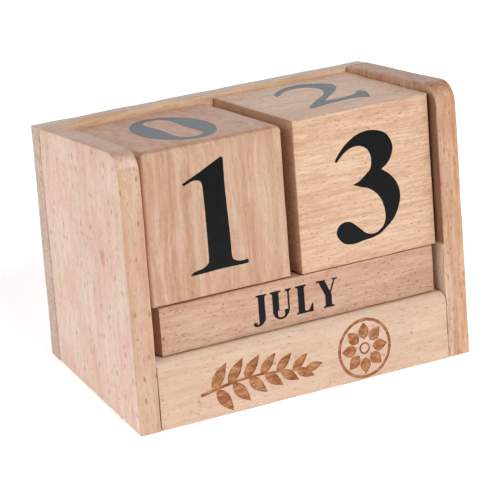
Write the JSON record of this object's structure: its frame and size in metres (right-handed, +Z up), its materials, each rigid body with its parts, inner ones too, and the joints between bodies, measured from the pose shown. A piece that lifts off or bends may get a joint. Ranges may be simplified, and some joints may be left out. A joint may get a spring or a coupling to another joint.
{
  "type": "perpetual block calendar",
  "caption": "Leaning wooden desk tray with two loose number cubes standing on loose month bars, which are turned by hand to show the date.",
  "frame": {"origin": "on the desk, under the middle of the bounding box", "axes": "+Z up, +X to the reader's right, front faces -Y"},
  "size_m": [0.0986, 0.0614, 0.0695],
  "materials": {
    "holder_beech": "sanded beech, unvarnished, with short dark flecks",
    "rail_beech": "sanded pale beech",
    "dowel_beech": "plain turned beech",
    "cube_left_beech": "sanded beech with wavy upright grain",
    "cube_right_beech": "sanded beech with fine grain across",
    "month_bar_beech": "sanded reddish beech with dark pores along its length",
    "print_ink": "matt black printing ink, for the numerals and month names",
    "burnt_mark": "burnt-brown branding, for the plain ornament on the rail"
  },
  "bodies": {
    "holder": {"side_panel_left": "holder_beech", "side_panel_right": "holder_beech", "back_board": "holder_beech", "front_rail": "rail_beech", "tray_floor": "holder_beech", "rail_dowel_left_1": "dowel_beech", "rail_dowel_left_2": "dowel_beech", "rail_dowel_right_1": "dowel_beech", "rail_dowel_right_2": "dowel_beech", "floor_dowel_left_1": "dowel_beech", "floor_dowel_left_2": "dowel_beech", "floor_dowel_right_1": "dowel_beech", "floor_dowel_right_2": "dowel_beech"},
    "cube_left": {"cube_left": "cube_left_beech"},
    "cube_right": {"cube_right": "cube_right_beech"},
    "month_bar_rear": {"month_bar_rear": "month_bar_beech"},
    "month_bar_middle": {"month_bar_middle": "month_bar_beech"},
    "month_bar_front": {"month_bar_front": "month_bar_beech"}
  },
  "joints": [
    {"name": "cube_left_lift", "type": "slide", "parent": "holder", "child": "cube_left", "axis": [0, 0.2351, 0.972], "range_m": [0, 0.05]},
    {"name": "cube_right_lift", "type": "slide", "parent": "holder", "child": "cube_right", "axis": [0, 0.2351, 0.972], "range_m": [0, 0.05]},
    {"name": "month_bar_rear_slide", "type": "slide", "parent": "holder", "child": "month_bar_rear", "axis": [0, -0.972, 0.2351], "range_m": [0, 0.0132]},
    {"name": "month_bar_middle_slide", "type": "slide", "parent": "month_bar_rear", "child": "month_bar_middle", "axis": [0, -0.972, 0.2351], "range_m": [0, 0.0132]},
    {"name": "month_bar_front_slide", "type": "slide", "parent": "month_bar_middle", "child": "month_bar_front", "axis": [0, -0.972, 0.2351], "range_m": [0, 0.016]}
  ]
}
